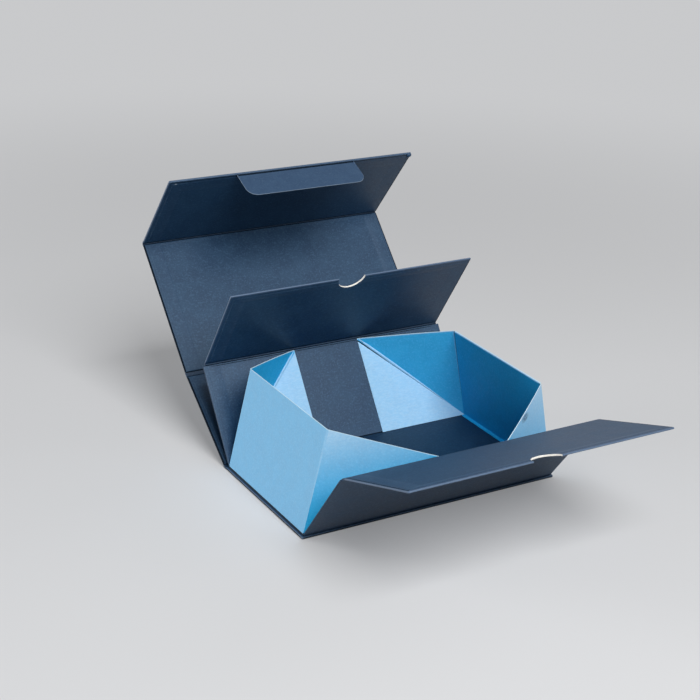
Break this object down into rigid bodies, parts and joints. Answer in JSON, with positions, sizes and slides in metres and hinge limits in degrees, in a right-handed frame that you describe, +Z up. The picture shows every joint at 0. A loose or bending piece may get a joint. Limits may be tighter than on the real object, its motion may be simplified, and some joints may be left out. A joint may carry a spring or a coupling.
{
  "type": "collapsible rigid gift box",
  "caption": "Open fold-flat gift box of dark blue wrapped board with light blue folded end sheets, thumb-notched inner flaps and a hinged wrap-round case with a tuck tongue.",
  "frame": {"origin": "on the floor, under the middle of the tray", "axes": "+X along the box to the viewer's right, -Y the front where the case closes, +Z up"},
  "size_m": [0.2284, 0.4201, 0.208],
  "materials": {
    "case_cover": "matte wrapped board",
    "tray_cover": "matte wrapped board",
    "end_card": "matte card",
    "tongue_card": "matte card"
  },
  "bodies": {
    "tray": {"case_bottom": "case_cover", "tray_base": "tray_cover", "back_wall": "tray_cover", "front_wall": "tray_cover", "left_end_sheet": "end_card", "right_end_sheet": "end_card"},
    "spine": {"case_spine": "case_cover"},
    "lid": {"case_lid": "case_cover"},
    "front_flap": {"case_front_flap": "case_cover"},
    "tongue": {"tuck_tongue": "tongue_card"},
    "inner_back": {"inner_back_flap": "tray_cover"},
    "inner_front": {"inner_front_flap": "tray_cover"}
  },
  "joints": [
    {"name": "spine_fold", "type": "hinge", "parent": "tray", "child": "spine", "pos_m": [0, 0.066, 0.0002], "axis": [1, 0, 0], "range_deg": [-35, 17]},
    {"name": "lid_fold", "type": "hinge", "parent": "spine", "child": "lid", "pos_m": [0, 0.1389, 0.05125], "axis": [1, 0, 0], "range_deg": [-10, 80]},
    {"name": "front_flap_fold", "type": "hinge", "parent": "lid", "child": "front_flap", "pos_m": [0, 0.22588, 0.13822], "axis": [-1, 0, 0], "range_deg": [-9, 83.5]},
    {"name": "tongue_fold", "type": "hinge", "parent": "front_flap", "child": "tongue", "pos_m": [0, 0.16911, 0.20718], "axis": [-1, 0, 0], "range_deg": [-20, 76]},
    {"name": "inner_back_fold", "type": "hinge", "parent": "tray", "child": "inner_back", "pos_m": [0, 0.11195, 0.07134], "axis": [1, 0, 0], "range_deg": [-85, 37]},
    {"name": "inner_front_fold", "type": "hinge", "parent": "tray", "child": "inner_front", "pos_m": [0, -0.11195, 0.07134], "axis": [-1, 0, 0], "range_deg": [-68, 140]}
  ]
}
